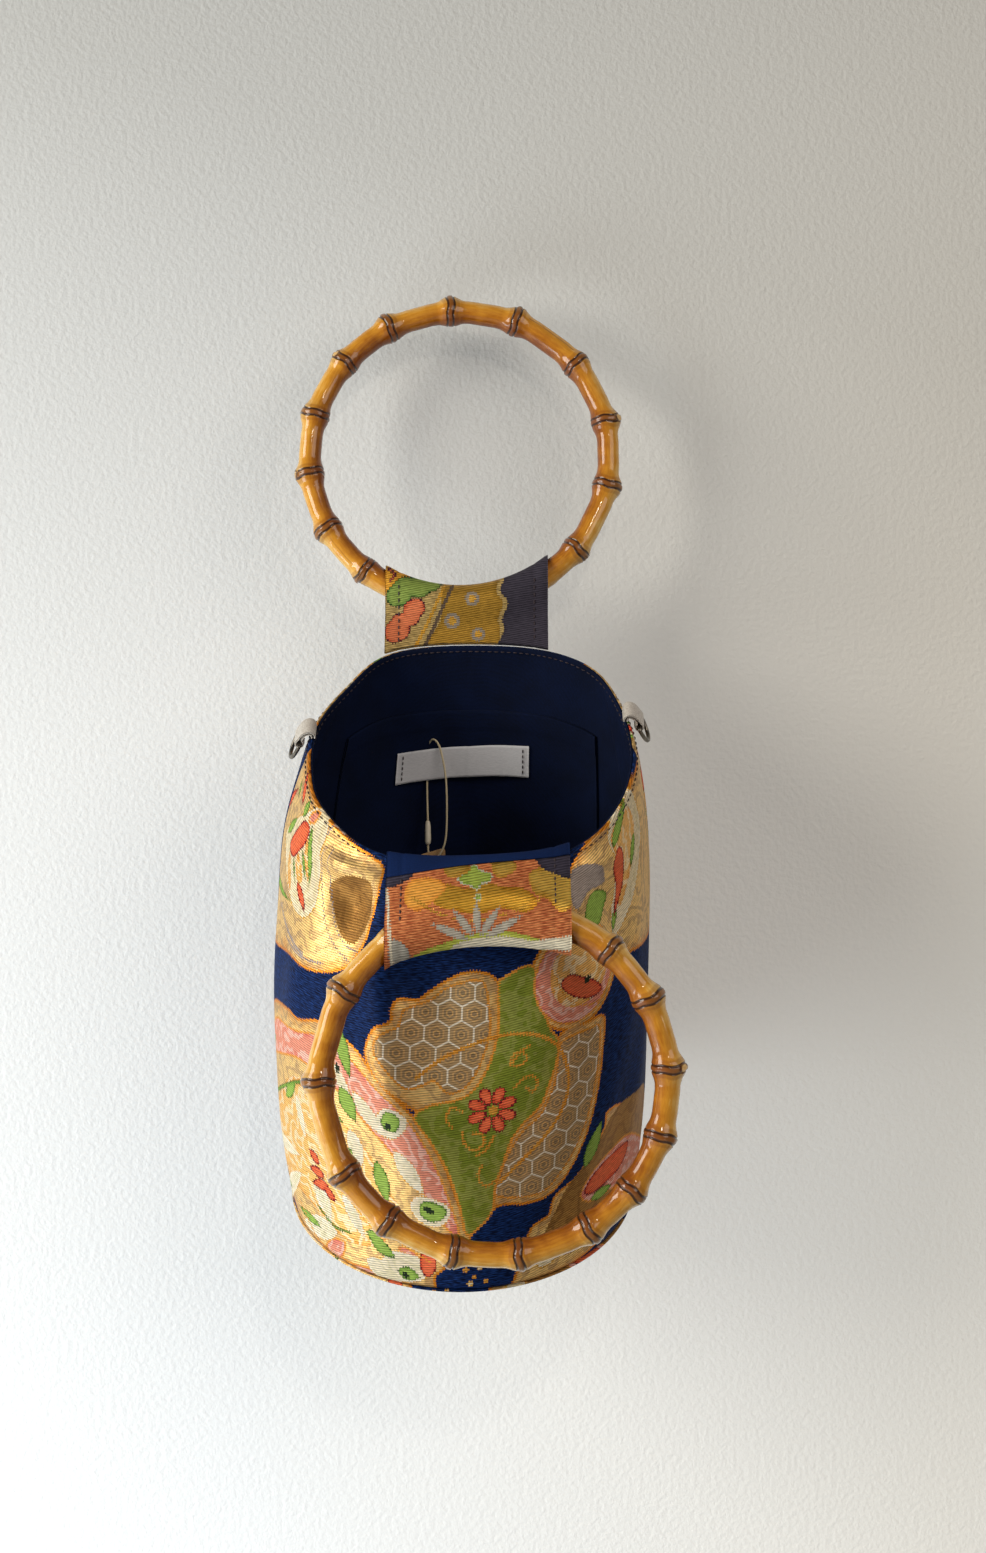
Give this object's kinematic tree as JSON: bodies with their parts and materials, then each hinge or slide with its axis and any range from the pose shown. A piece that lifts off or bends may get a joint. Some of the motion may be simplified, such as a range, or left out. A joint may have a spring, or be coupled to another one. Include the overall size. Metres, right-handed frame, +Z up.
{
  "type": "bamboo handle bag",
  "caption": "Small brocade bucket bag with a navy lining, two bamboo ring handles in wide cloth tabs, side D rings, an inner pocket and a hang tag, shown hanging open by one ring.",
  "frame": {"origin": "the hang point: the top of the hole in the rear ring, where a hook carries the bag", "axes": "+Z up, +X to the right of someone facing the wall, +Y towards the wall that the bag hangs against"},
  "size_m": [0.1721, 0.1776, 0.4359],
  "materials": {
    "brocade": "figured silk brocade with gold thread on navy satin",
    "lining": "plain woven navy cotton",
    "label": "white woven tape, bare",
    "bamboo": "varnished",
    "leather": "silvery coated",
    "nickel": "dark nickel plated wire",
    "string": "waxed cotton",
    "string_plastic": "moulded",
    "kraft": "uncoated kraft card, blank"
  },
  "bodies": {
    "rear_ring": {"rear_ring": "bamboo"},
    "bag": {"outer_front_panel": "brocade", "outer_back_panel": "brocade", "outer_base": "brocade", "lining_front_panel": "lining", "lining_back_panel": "lining", "lining_base": "lining", "inner_pocket": "lining", "woven_label": "label", "rear_tab": "brocade", "front_tab": "brocade", "left_side_tab": "leather", "right_side_tab": "leather", "tag_string": "string", "string_joint": "string_plastic", "hang_tag": "kraft"},
    "front_ring": {"front_ring": "bamboo"},
    "left_d_ring": {"left_d_ring": "nickel"},
    "right_d_ring": {"right_d_ring": "nickel"}
  },
  "joints": [
    {"name": "bag_swing", "type": "hinge", "parent": "rear_ring", "child": "bag", "pos_m": [0, -0.01764, -0.12552], "axis": [-1, 0, 0], "range_deg": [0, 130], "deforming": ["rear_tab"]},
    {"name": "front_ring_swing", "type": "hinge", "parent": "bag", "child": "front_ring", "pos_m": [0.0159, -0.14881, -0.26795], "axis": [-1, 0, 0], "range_deg": [0, 170], "deforming": ["front_tab"]},
    {"name": "left_d_ring_swing", "type": "hinge", "parent": "bag", "child": "left_d_ring", "pos_m": [-0.06811, -0.0714, -0.19354], "axis": [0, 0.766, 0.6428], "range_deg": [0, 120]},
    {"name": "right_d_ring_swing", "type": "hinge", "parent": "bag", "child": "right_d_ring", "pos_m": [0.07924, -0.06288, -0.18611], "axis": [0, -0.766, -0.6428], "range_deg": [0, 120]}
  ]
}
